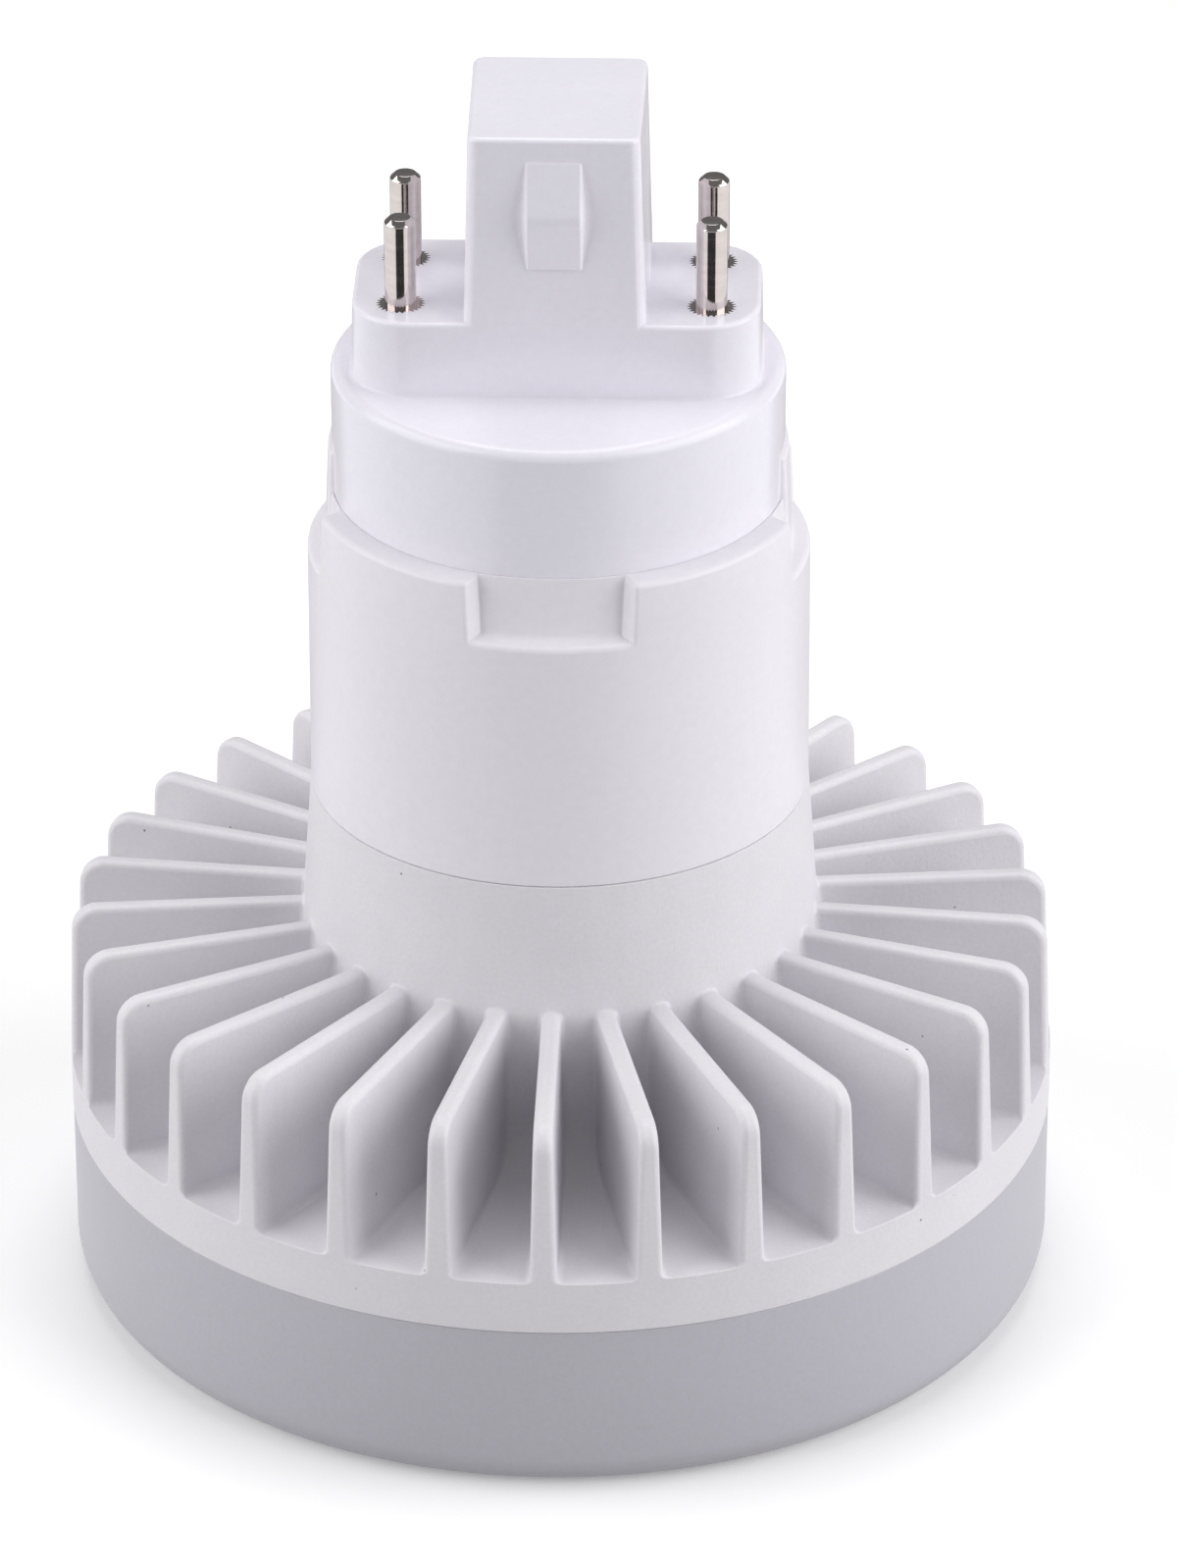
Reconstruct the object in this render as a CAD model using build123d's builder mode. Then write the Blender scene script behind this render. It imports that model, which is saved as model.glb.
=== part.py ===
from build123d import *
import os
from math import cos, radians, sin, sqrt, tan

# Plug-in LED lamp standing on its lens: millimetres, Z up, origin at the centre of the lens face.

# Fits
fit_gap = 0.1
press_gap = 0.05
edge_gap = 0.5

# Lens
lens_radius = 37.45
lens_height = 13.7
lens_wall = 1.8
lens_edge = 2.8

# Die-cast heat sink
rim_overhang = 0.05
rim_height = 4.15
fin_count = 30
fin_height = 12.05
fin_foot_width = 2.0
fin_draft = 1.3
fin_end_draft = 2.0
fin_setback = 0.05
fin_corner_radius = 2.0
fin_bury = 1.0
hub_rise = 10.55
hub_draft = 4.0
hub_wall = 2.2
hub_floor = 3.0

# Driver housing
collar_height = 24.35
collar_wall = 1.83
collar_slope_drop = 0.55
seam_step = 0.1
notch_depth = 4.8
notch_half_angle = 20.0
notch_flare = 1.0
notch_web = 0.45
tongue_width = 7.6
tongue_rise = 3.4
tongue_sink = 0.5
guide_length = 3.0
guide_width = 1.2
guide_bury = 0.4

# Base cap
cap_radius = 16.75
cap_height = 10.0
cap_edge = 0.7
skirt_depth = 7.0
key_draft = 1.5
key_wall = 1.7
plinth_end_margin = 3.75
plinth_side_margin = 3.65
plinth_height = 5.87
plinth_corner_radius = 4.5
post_width = 13.85
post_height = 14.63
post_corner_radius = 0.9
pocket_corner = 1.4
catch_width = 4.0
catch_height = 8.3
catch_foot = 4.5
catch_depth = 1.1

# Contact pins
pin_circle = 24.0
pin_pair_gap = 8.0
pin_radius = 1.15
pin_length = 6.75
pin_chamfer = 0.35
pin_teeth = 14
pin_flange_radius = 1.8
pin_tooth_depth = 0.28

# LED board
led_board_thickness = 1.2
led_board_sides = 12
chip_length = 3.5
chip_width = 2.8
chip_height = 0.8
outer_ring_radius = 27.0
outer_ring_count = 12
inner_ring_radius = 15.5
inner_ring_count = 6

# Driver board and what it carries
driver_board_thickness = 1.6
bulk_radius = 5.0
bulk_length = 16.0
core_width = 10.2
core_height = 11.0
core_depth = 4.8
core_limb = 2.4
winding_build = 1.6
bobbin_base = 1.0
bobbin_flange = 0.8
bobbin_wall = 0.4
choke_width = 7.0
choke_depth = 4.5
choke_corner = 1.2
film_width = 10.0
film_height = 9.0
film_depth = 5.0
fuse_width = 8.2
fuse_height = 4.0
fuse_depth = 7.0
bridge_width = 6.2
bridge_height = 5.0
bridge_depth = 2.5
controller_width = 4.9
controller_height = 3.9
controller_depth = 1.5
transistor_width = 6.5
transistor_height = 6.1
transistor_depth = 2.3
diode_width = 4.4
diode_height = 2.6
diode_depth = 2.2
package_draft = 4.0
leg_reach = 1.0
leg_inset = 0.5
leg_thickness = 0.3
part_spacing = 1.5

# Connections
strip_width = 1.6
strip_thickness = 0.4
strip_land = 3.0
strip_rise = 2.0
feed_post_width = 0.8
feed_post_spacing = 5.0
feed_post_land = 3.0
feed_post_tip = 0.8
feed_slot_gap = 1.6

# Levels up the axis
seam_z = lens_height
led_face_z = seam_z - led_board_thickness
hub_floor_z = seam_z + hub_floor
floor_z = seam_z + rim_height
fin_top_z = floor_z + fin_height
hub_top_z = fin_top_z + hub_rise
collar_top_z = hub_top_z + collar_height
skirt_z = collar_top_z - skirt_depth
notch_z = collar_top_z - notch_depth
tongue_top_z = collar_top_z + tongue_rise
cap_top_z = collar_top_z + cap_height
plinth_top_z = cap_top_z + plinth_height
post_top_z = plinth_top_z + post_height
pin_foot_z = plinth_top_z - key_wall

# The driver board is as tall as the taller of the two stacks of parts on its faces.
rear_stack = choke_width + part_spacing + bulk_length
front_stack = transistor_height + 2 * leg_reach + fuse_height + film_height + 2 * part_spacing
board_height = feed_post_land + max(rear_stack, front_stack) + 2 * part_spacing + strip_land
board_top_z = skirt_z - edge_gap
board_foot_z = board_top_z - board_height
stack_foot_z = board_foot_z + feed_post_land + part_spacing

# Radii, each from the piece inside it
socket_radius = cap_radius + fit_gap
collar_radius = socket_radius + collar_wall
hub_top_radius = collar_radius + seam_step
hub_foot_radius = hub_top_radius + (hub_top_z - floor_z) * tan(radians(hub_draft))
hub_bore = hub_top_radius - hub_wall
guide_radius = hub_bore - fit_gap
rim_radius = lens_radius + rim_overhang
led_board_radius = lens_radius - lens_wall - fit_gap
web_radius = socket_radius + notch_web
tongue_radius = cap_radius - tongue_sink + fit_gap

# Pin and board places, and the plinth round the pins
pin_x = sqrt(pin_circle**2 - pin_pair_gap**2) / 2
pin_y = pin_pair_gap / 2
plinth_length = 2 * (pin_x + plinth_end_margin)
plinth_depth = 2 * (pin_y + plinth_side_margin)
board_face_y = driver_board_thickness / 2
board_half_width = guide_radius - edge_gap
feed_post_y = board_face_y + feed_post_width / 2


# Lens: a cup whose lower edge is bevelled in two steps along a quarter round.
with BuildPart() as diffuser:
    bevel_inset = lens_edge * (1 - cos(radians(45)))
    with BuildSketch(Plane.XZ):
        with BuildLine():
            Polyline(
                (0, 0),
                (lens_radius - lens_edge, 0),
                (lens_radius - bevel_inset, bevel_inset),
                (lens_radius, lens_edge),
                (lens_radius, seam_z),
                (lens_radius - lens_wall, seam_z),
                (lens_radius - lens_wall, lens_wall),
                (0, lens_wall),
                close=True,
            )
        make_face()
    revolve(axis=Axis.Z)


# One fin: drafted on both sides and at its outer end, with a rounded top corner.
with BuildPart() as fin:
    fin_end = rim_radius - fin_setback
    fin_top_end = fin_end - fin_height * tan(radians(fin_end_draft))
    with BuildSketch(Plane.XZ) as fin_side:
        with BuildLine():
            Polyline(
                (hub_bore + fin_bury, floor_z),
                (fin_end, floor_z),
                (fin_top_end, fin_top_z),
                (hub_bore + fin_bury, fin_top_z),
                close=True,
            )
        make_face()
        fillet(fin_side.vertices().sort_by_distance((fin_top_end, fin_top_z))[0], fin_corner_radius)
    extrude(amount=fin_foot_width, both=True)
    with BuildSketch(Plane.YZ):
        with Locations((0, floor_z)):
            Trapezoid(fin_foot_width, fin_height, 90 - fin_draft, align=(Align.CENTER, Align.MIN))
    extrude(amount=rim_radius, mode=Mode.INTERSECT)

# Heat sink: base plate and drafted hub turned in one section, then the ring of fins.
with BuildPart() as heat_sink:
    with BuildSketch(Plane.XZ):
        with BuildLine():
            Polyline(
                (0, seam_z),
                (rim_radius, seam_z),
                (rim_radius, floor_z),
                (hub_foot_radius, floor_z),
                (hub_top_radius, hub_top_z),
                (hub_bore, hub_top_z),
                (hub_bore, hub_floor_z),
                (0, hub_floor_z),
                close=True,
            )
        make_face()
    revolve(axis=Axis.Z)
    with PolarLocations(0, fin_count, start_angle=-90):
        add(fin.part)
    with BuildSketch(Plane.XY.offset(seam_z)):
        with Locations((0, feed_post_y)):
            Rectangle(
                feed_post_spacing + feed_post_width + 2 * feed_slot_gap,
                feed_post_width + 2 * feed_slot_gap,
            )
    extrude(amount=hub_floor, mode=Mode.SUBTRACT)


# Notch cutter: four flared pockets, stopping at the thin web that stands round the cap.
with BuildPart() as notches:
    notch_half = collar_radius * sin(radians(notch_half_angle))
    with BuildSketch(Plane.XY.offset(notch_z)):
        with PolarLocations(0, 4):
            Polygon(
                (cap_radius, notch_half - notch_flare),
                (web_radius, notch_half - notch_flare),
                (collar_radius, notch_half),
                (collar_radius + collar_wall, notch_half),
                (collar_radius + collar_wall, -notch_half),
                (collar_radius, -notch_half),
                (web_radius, notch_flare - notch_half),
                (cap_radius, notch_flare - notch_half),
                align=None,
            )
        Circle(web_radius, mode=Mode.SUBTRACT)
    extrude(amount=notch_depth)

# Tongues: the left and right webs carried on up the side of the cap.
with BuildPart() as tongues:
    with BuildSketch(Plane.XZ):
        with BuildLine():
            Polyline(
                (tongue_radius, skirt_z),
                (socket_radius + fit_gap, skirt_z),
                (socket_radius + fit_gap, notch_z),
                (web_radius, notch_z),
                (web_radius, tongue_top_z),
                (tongue_radius, tongue_top_z),
                close=True,
            )
        make_face()
    revolve(axis=Axis.Z)
    with BuildSketch(Plane.XY.offset(skirt_z)):
        Rectangle(4 * cap_radius, tongue_width)
    extrude(amount=tongue_top_z - skirt_z, mode=Mode.INTERSECT)

# Board guides: two slotted channels, from inside the hub up the housing's wall.
with BuildPart() as guides:
    guide_half = board_face_y + fit_gap + guide_width
    guide_reach = sqrt(guide_radius**2 - guide_half**2)
    guide_foot_z = board_foot_z - guide_width
    with BuildSketch(Plane.XZ):
        with BuildLine():
            Polyline(
                (guide_radius - guide_length, guide_foot_z),
                (guide_reach, guide_foot_z),
                (guide_reach, hub_top_z),
                (socket_radius + guide_bury, hub_top_z),
                (socket_radius + guide_bury, board_top_z),
                (guide_radius - guide_length, board_top_z),
                close=True,
            )
        make_face()
        mirror(about=Plane.YZ)
    extrude(amount=guide_half, both=True)
    with BuildSketch(Plane.XY.offset(board_foot_z)):
        Rectangle(2 * (board_half_width + fit_gap), 2 * (board_face_y + fit_gap))
    extrude(amount=board_top_z - board_foot_z, mode=Mode.SUBTRACT)

# Driver housing: the collar on the hub, its top sloping outward and notched.
with BuildPart() as driver_housing:
    with BuildSketch(Plane.XZ):
        with BuildLine():
            Polyline(
                (socket_radius, hub_top_z),
                (collar_radius, hub_top_z),
                (collar_radius, collar_top_z - collar_slope_drop),
                (socket_radius, collar_top_z),
                close=True,
            )
        make_face()
    revolve(axis=Axis.Z)
    add(notches.part, mode=Mode.SUBTRACT)
    add(tongues.part)
    add(guides.part)


# Key: the oblong plinth and the post on it, drafted at their ends and flush along their fronts.
with BuildPart() as plinth:
    with BuildSketch(Plane.XZ):
        with Locations((0, cap_top_z)):
            Trapezoid(plinth_length, plinth_height, 90 - key_draft, align=(Align.CENTER, Align.MIN))
    extrude(amount=plinth_depth / 2, both=True)
    fillet(plinth.edges().filter_by(Axis.Z, tolerance=2 * key_draft), plinth_corner_radius)

with BuildPart() as post:
    with BuildSketch(Plane.XZ):
        with Locations((0, cap_top_z)):
            Trapezoid(
                post_width,
                plinth_height + post_height,
                90 - key_draft,
                align=(Align.CENTER, Align.MIN),
            )
    extrude(amount=plinth_depth / 2, both=True)
    fillet(post.edges().filter_by(Axis.Z, tolerance=2 * key_draft), post_corner_radius)

# Wedge catches, front and back of the post
with BuildPart() as catches:
    catch_z = plinth_top_z + catch_foot
    catch_root = plinth_depth / 2
    catch_tip = catch_root + catch_depth
    with BuildSketch(Plane.YZ.offset(-catch_width / 2)):
        with BuildLine():
            Polyline(
                (catch_root, catch_z),
                (catch_tip, catch_z + catch_height / 2),
                (catch_root, catch_z + catch_height),
                (-catch_root, catch_z + catch_height),
                (-catch_tip, catch_z + catch_height / 2),
                (-catch_root, catch_z),
                close=True,
            )
        make_face()
    extrude(amount=catch_width)

# Base cap: round body under the key, with one pocket inside and the pins' holes through the plinth.
with BuildPart() as base_cap:
    with BuildSketch(Plane.XY.offset(skirt_z)):
        Circle(cap_radius)
    extrude(amount=cap_top_z - skirt_z)
    chamfer(base_cap.edges().group_by(Axis.Z)[-1], cap_edge)
    add(plinth.part)
    add(post.part)
    add(catches.part)
    with BuildSketch(Plane.XY.offset(skirt_z)) as pocket:
        Rectangle(plinth_length - 2 * key_wall, plinth_depth - 2 * key_wall)
        chamfer(pocket.vertices(), pocket_corner)
    extrude(amount=pin_foot_z - skirt_z, mode=Mode.SUBTRACT)
    with BuildSketch(Plane.XY.offset(cap_top_z)):
        Rectangle(post_width - 2 * key_wall, plinth_depth - 2 * key_wall)
    extrude(amount=post_top_z - key_wall - cap_top_z, taper=key_draft, mode=Mode.SUBTRACT)
    with Locations((0, 0, plinth_top_z)):
        with GridLocations(2 * pin_x, 2 * pin_y, 2, 2):
            Hole(pin_flange_radius + press_gap, key_wall)
    with BuildSketch(Plane.XY.offset(skirt_z)):
        Rectangle(4 * cap_radius, tongue_width + 2 * fit_gap)
        Circle(cap_radius - tongue_sink, mode=Mode.SUBTRACT)
    extrude(amount=tongue_top_z - skirt_z, mode=Mode.SUBTRACT)


# Contact pin: turned shaft with a chamfered tip, on a knurled flange as deep as the plinth's wall
def contact_pin(x, y):
    half_pitch = radians(180 / pin_teeth)
    valley = pin_flange_radius - pin_tooth_depth
    with BuildPart() as pin:
        with BuildSketch(Plane((x, y, pin_foot_z))):
            Circle(pin_radius)
        extrude(amount=key_wall + pin_length)
        chamfer(pin.edges().group_by(Axis.Z)[-1], pin_chamfer)
        with BuildSketch(Plane((x, y, pin_foot_z))):
            with PolarLocations(0, pin_teeth):
                Polygon(
                    (0, 0),
                    (valley * cos(half_pitch), -valley * sin(half_pitch)),
                    (pin_flange_radius, 0),
                    (valley * cos(half_pitch), valley * sin(half_pitch)),
                    align=None,
                )
        extrude(amount=key_wall)
    return pin.part


# LED board against the casting, its corners located by the lens wall
with BuildPart() as led_board:
    post_hole = feed_post_width + 2 * fit_gap
    with BuildSketch(Plane.XY.offset(led_face_z)):
        RegularPolygon(led_board_radius, led_board_sides)
        with Locations((0, feed_post_y)):
            with GridLocations(feed_post_spacing, 0, 2, 1):
                Rectangle(post_hole, post_hole, mode=Mode.SUBTRACT)
    extrude(amount=led_board_thickness)

with BuildPart() as led_chips:
    with BuildSketch(Plane.XY.offset(led_face_z)):
        with PolarLocations(outer_ring_radius, outer_ring_count):
            Rectangle(chip_width, chip_length)
        with PolarLocations(inner_ring_radius, inner_ring_count, start_angle=180 / inner_ring_count):
            Rectangle(chip_width, chip_length)
    extrude(amount=-chip_height)


# Driver board, upright in the guides
with BuildPart() as driver_board:
    with BuildSketch(Plane.XZ):
        with Locations((0, board_foot_z)):
            Rectangle(2 * board_half_width, board_height, align=(Align.CENTER, Align.MIN))
    extrude(amount=board_face_y, both=True)

# Rear face of the board: choke and can on the right, transformer on the left
can_x = bulk_radius + part_spacing
can_foot_z = stack_foot_z + choke_width + part_spacing

# Shielded choke, square with cropped corners
with BuildPart() as choke:
    with BuildSketch(Plane.XZ.offset(-board_face_y)) as choke_face:
        with Locations((can_x, stack_foot_z + choke_width / 2)):
            Rectangle(choke_width, choke_width)
        chamfer(choke_face.vertices(), choke_corner)
    extrude(amount=-choke_depth)

# Electrolytic can lying along the board
with BuildPart() as bulk_capacitor:
    with BuildSketch(Plane.XY.offset(can_foot_z)):
        with Locations((can_x, board_face_y + fit_gap + bulk_radius)):
            Circle(bulk_radius)
    extrude(amount=bulk_length)

# Transformer core: yokes and outer limbs half as wide as the centre limb
core_x = -core_width / 2
core_y = board_face_y + bobbin_base + winding_build + core_depth / 2
core_z = stack_foot_z + core_height / 2
window_width = core_width / 2 - core_limb
window_height = core_height - core_limb
with BuildPart() as transformer_core:
    with BuildSketch(Plane.XZ.offset(-core_y)):
        with Locations((core_x, core_z)):
            Rectangle(core_width, core_height)
            with GridLocations(core_limb + window_width, 0, 2, 1):
                Rectangle(window_width, window_height, mode=Mode.SUBTRACT)
    extrude(amount=core_depth / 2, both=True)

# Bobbin: a square tube round the centre limb, flanged at both ends and footed on the board
bobbin_height = window_height - 2 * fit_gap
bobbin_width = core_limb + 2 * window_width - 2 * fit_gap
bobbin_depth = core_depth + 2 * winding_build
tube_width = core_limb + 2 * fit_gap
tube_depth = core_depth + 2 * fit_gap
with BuildPart() as transformer_bobbin:
    with BuildSketch(Plane.XY.offset(core_z)):
        with Locations((core_x, core_y)):
            Rectangle(bobbin_width, bobbin_depth)
    extrude(amount=bobbin_height / 2, both=True)
    with BuildSketch(Plane.XY.offset(core_z)):
        with Locations((core_x, core_y)):
            Rectangle(bobbin_width, bobbin_depth)
            Rectangle(tube_width + 2 * bobbin_wall, tube_depth + 2 * bobbin_wall, mode=Mode.SUBTRACT)
    extrude(amount=bobbin_height / 2 - bobbin_flange, both=True, mode=Mode.SUBTRACT)
    with BuildSketch(Plane.XY.offset(core_z)):
        with Locations((core_x, core_y)):
            Rectangle(tube_width, tube_depth)
    extrude(amount=bobbin_height / 2, both=True, mode=Mode.SUBTRACT)
    with BuildSketch(Plane.XZ.offset(-board_face_y)):
        with Locations((core_x, core_z)):
            Rectangle(bobbin_width, bobbin_height)
    extrude(amount=-bobbin_base)

with BuildPart() as transformer_winding:
    with BuildSketch(Plane.XY.offset(core_z)):
        with Locations((core_x, core_y)):
            Rectangle(bobbin_width - fit_gap, bobbin_depth - 2 * fit_gap)
            Rectangle(
                tube_width + 2 * bobbin_wall + fit_gap,
                tube_depth + 2 * bobbin_wall + fit_gap,
                mode=Mode.SUBTRACT,
            )
    extrude(amount=bobbin_height / 2 - bobbin_flange - fit_gap, both=True)

# Front face of the board: three rows of moulded parts
low_row_z = stack_foot_z + leg_reach + transistor_height / 2
mid_row_z = low_row_z + transistor_height / 2 + leg_reach + part_spacing + fuse_height / 2
top_row_z = mid_row_z + fuse_height / 2 + part_spacing + film_height / 2
left_x = -film_width / 2 - part_spacing
right_x = bridge_width / 2 + part_spacing


def boxed(x, z, width, height, depth):
    with BuildPart() as body:
        with BuildSketch(Plane.XZ.offset(board_face_y)):
            with Locations((x, z)):
                Rectangle(width, height)
        extrude(amount=depth)
    return body.part


# A moulded package: drafted body over a flat lead frame that shows at both ends
def package(x, z, width, height, depth):
    with BuildPart() as body:
        with BuildSketch(Plane.XZ.offset(board_face_y)):
            with Locations((x, z)):
                Rectangle(width, height)
        extrude(amount=depth, taper=package_draft)
        with BuildSketch(Plane.XZ.offset(board_face_y)):
            with Locations((x, z)):
                Rectangle(width - 2 * leg_inset, height + 2 * leg_reach)
        extrude(amount=leg_thickness)
    return body.part


# Bent strip from the underside of a pin to the near face of the driver board
def contact_strip(side_x, side_y):
    outside = Side.LEFT if side_y > 0 else Side.RIGHT
    with BuildPart() as strip:
        with BuildSketch(Plane.YZ.offset(side_x * pin_x - strip_width / 2)):
            with BuildLine():
                path = Polyline(
                    (side_y * (pin_y + pin_radius), pin_foot_z),
                    (side_y * (pin_y - pin_radius), pin_foot_z),
                    (side_y * board_face_y, board_top_z + strip_rise),
                    (side_y * board_face_y, board_top_z - strip_land),
                )
                offset(path, strip_thickness, kind=Kind.INTERSECTION, side=outside)
            make_face()
        extrude(amount=strip_width)
    return strip.part


# Square post from the foot of the driver board down through the casting and the LED board
def feed_post(side):
    with BuildPart() as peg:
        with BuildSketch(Plane.XY.offset(led_face_z - feed_post_tip)):
            with Locations((side * feed_post_spacing / 2, feed_post_y)):
                Rectangle(feed_post_width, feed_post_width)
        extrude(amount=board_foot_z + feed_post_land - led_face_z + feed_post_tip)
    return peg.part


pieces = {
    "diffuser": diffuser.part,
    "heat_sink": heat_sink.part,
    "driver_housing": driver_housing.part,
    "base_cap": base_cap.part,
    "contact_pin_1": contact_pin(-pin_x, -pin_y),
    "contact_pin_2": contact_pin(pin_x, -pin_y),
    "contact_pin_3": contact_pin(pin_x, pin_y),
    "contact_pin_4": contact_pin(-pin_x, pin_y),
    "contact_strip_1": contact_strip(-1, -1),
    "contact_strip_2": contact_strip(1, -1),
    "contact_strip_3": contact_strip(1, 1),
    "contact_strip_4": contact_strip(-1, 1),
    "led_board": led_board.part,
    "led_chips": led_chips.part,
    "feed_post_positive": feed_post(1),
    "feed_post_negative": feed_post(-1),
    "driver_board": driver_board.part,
    "bulk_capacitor": bulk_capacitor.part,
    "transformer_core": transformer_core.part,
    "transformer_bobbin": transformer_bobbin.part,
    "transformer_winding": transformer_winding.part,
    "choke": choke.part,
    "film_capacitor": boxed(left_x, top_row_z, film_width, film_height, film_depth),
    "fuse": boxed(left_x, mid_row_z, fuse_width, fuse_height, fuse_depth),
    "bridge_rectifier": package(right_x, top_row_z, bridge_width, bridge_height, bridge_depth),
    "controller_chip": package(right_x, mid_row_z, controller_width, controller_height, controller_depth),
    "power_transistor": package(left_x, low_row_z, transistor_width, transistor_height, transistor_depth),
    "output_diode": package(right_x, low_row_z, diode_width, diode_height, diode_depth),
}

os.makedirs("parts", exist_ok=True)
for name, piece in pieces.items():
    piece.label = name
    export_step(piece, f"parts/{name}.step")
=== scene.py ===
from math import asin, atan2, cos, pi, radians, sin, sqrt, tan

import bmesh
import bpy
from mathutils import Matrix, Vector


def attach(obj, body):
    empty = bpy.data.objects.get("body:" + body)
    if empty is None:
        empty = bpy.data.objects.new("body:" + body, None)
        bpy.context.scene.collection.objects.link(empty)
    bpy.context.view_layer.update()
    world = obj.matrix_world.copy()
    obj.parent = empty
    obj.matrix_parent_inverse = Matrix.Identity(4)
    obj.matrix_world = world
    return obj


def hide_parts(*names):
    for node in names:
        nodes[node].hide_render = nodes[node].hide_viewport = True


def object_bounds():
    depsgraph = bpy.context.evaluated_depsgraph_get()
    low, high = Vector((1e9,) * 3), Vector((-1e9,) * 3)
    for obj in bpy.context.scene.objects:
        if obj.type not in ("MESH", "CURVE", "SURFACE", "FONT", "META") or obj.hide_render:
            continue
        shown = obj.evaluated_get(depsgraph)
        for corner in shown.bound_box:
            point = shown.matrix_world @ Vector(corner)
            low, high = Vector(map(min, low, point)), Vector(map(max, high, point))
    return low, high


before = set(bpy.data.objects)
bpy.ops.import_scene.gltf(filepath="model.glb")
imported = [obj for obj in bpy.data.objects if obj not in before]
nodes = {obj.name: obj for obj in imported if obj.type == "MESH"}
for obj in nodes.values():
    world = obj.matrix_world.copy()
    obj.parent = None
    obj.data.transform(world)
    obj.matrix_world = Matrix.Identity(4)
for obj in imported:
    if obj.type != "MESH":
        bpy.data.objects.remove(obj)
cadLow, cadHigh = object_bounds()
mm = 0.001

# overall sizes from the frame, then the heights where two pieces meet, in mm
rimRadius, lampHeight = [round(cadHigh[k] / mm, 3) for k in (0, 2)]
lensSeamZ, hubTopZ, plinthTopZ = 13.7, 40.45, 80.67
print("frame loaded:", len(nodes), "nodes")


# mesh helpers, all lengths in mm

def spread(start, end, count):
    return [start + (end - start) * k / count for k in range(count + 1)]


def arcPoints(cx, cz, radius, start, end, count):
    # start and end in degrees
    turn = [radians(a) for a in spread(start, end, count)]
    return [(cx + radius * cos(a), cz + radius * sin(a)) for a in turn]


def addPoints(bm, places):
    return [bm.verts.new((x * mm, y * mm, z * mm)) for x, y, z in places]


def addRing(bm, radius, z, turn):
    return addPoints(bm, [(radius * cos(a), radius * sin(a), z) for a in turn])


def addStrip(bm, low, high, closed=False):
    # faces between two lines with the same number of points
    for k in range(len(low) if closed else len(low) - 1):
        j = (k + 1) % len(low)
        bm.faces.new((low[k], low[j], high[j], high[k]))


def markLine(bm, weight, line, share):
    # share of the bevel's width for the edges along a line
    for a, b in zip(line, line[1:]):
        edge = bm.edges.get((a, b))
        if edge is not None:
            edge[weight] = share


def turnProfile(profile, steps):
    # closed body of revolution, its profile going from the axis below to the axis above
    bm = bmesh.new()
    turn = [2 * pi * i / steps for i in range(steps)]
    rings = [addRing(bm, r, z, turn if r else turn[:1]) for r, z in profile]
    for low, high in zip(rings, rings[1:]):
        for i in range(steps):
            j = (i + 1) % steps
            corners = (low[i % len(low)], low[j % len(low)], high[j % len(high)], high[i % len(high)])
            bm.faces.new(list(dict.fromkeys(corners)))
    return bm


def toMesh(name, bm):
    mesh = bpy.data.meshes.new(name)
    bm.to_mesh(mesh)
    bm.free()
    return mesh


def addObject(name, data):
    obj = bpy.data.objects.new(name, data)
    bpy.context.scene.collection.objects.link(obj)
    return obj


def makePiece(name, bm, replaced, sharpAngle):
    bmesh.ops.recalc_face_normals(bm, faces=bm.faces)
    mesh = toMesh(name, bm)
    mesh.shade_smooth()
    mesh.set_sharp_from_angle(angle=radians(sharpAngle))
    obj = addObject(name, mesh)
    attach(obj, "root")
    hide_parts(*replaced)
    return obj


def keepFlat(obj):
    # large faces stay flat beside their rounds
    normals = obj.modifiers.new("faceNormals", "WEIGHTED_NORMAL")
    normals.keep_sharp = True
    normals.weight = 80


def roundEdges(obj, width, segments):
    # rounds the edges that carry a bevel weight
    bevel = obj.modifiers.new("roundEdges", "BEVEL")
    bevel.limit_method = "WEIGHT"
    bevel.width = width * mm
    bevel.segments = segments
    bevel.use_clamp_overlap = False
    bevel.miter_outer = "MITER_ARC"
    keepFlat(obj)


# lens

lensSpec = {
    "inset": 0.05, "wall": 1.8, "edge": 2.8, "topRound": 0.15,
    "steps": 240, "edgeSteps": 12, "topSteps": 3, "sharpAngle": 30,
}


def buildLens(spec):
    r, h, w = rimRadius - spec["inset"], lensSeamZ, spec["wall"]
    e, t = spec["edge"], spec["topRound"]
    profile = [(0, 0), (r / 2, 0)]  # the ring halfway keeps the faces of the flat short
    profile += arcPoints(r - e, e, e, -90, 0, spec["edgeSteps"])
    profile += arcPoints(r - t, h - t, t, 0, 90, spec["topSteps"])
    profile += [(r - w, h), (r - w, w), (0, w)]
    bm = turnProfile(profile, spec["steps"])
    return makePiece("lensCup", bm, ["diffuser"], spec["sharpAngle"])


lensCup = buildLens(lensSpec)
print("lens built")


# heat sink

sinkSpec = {
    "floorZ": 17.85, "finTopZ": 30.26, "fins": 30, "footWidth": 2.0,
    "finDraft": 1.4, "endDraft": 2.0, "corner": 2.0,
    "hubTop": 18.76, "hubDraft": 4.0, "rootRound": 4.0, "bore": 16.58, "boreFloorZ": 16.7,
    "edgeRound": 0.45, "footRound": 0.42, "hubRound": 0.25, "lineRound": 0.08, "seamRound": 0.096,
    "channelSteps": 4, "arcSteps": 7, "bevelSteps": 4, "sharpAngle": 40,
}


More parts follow.
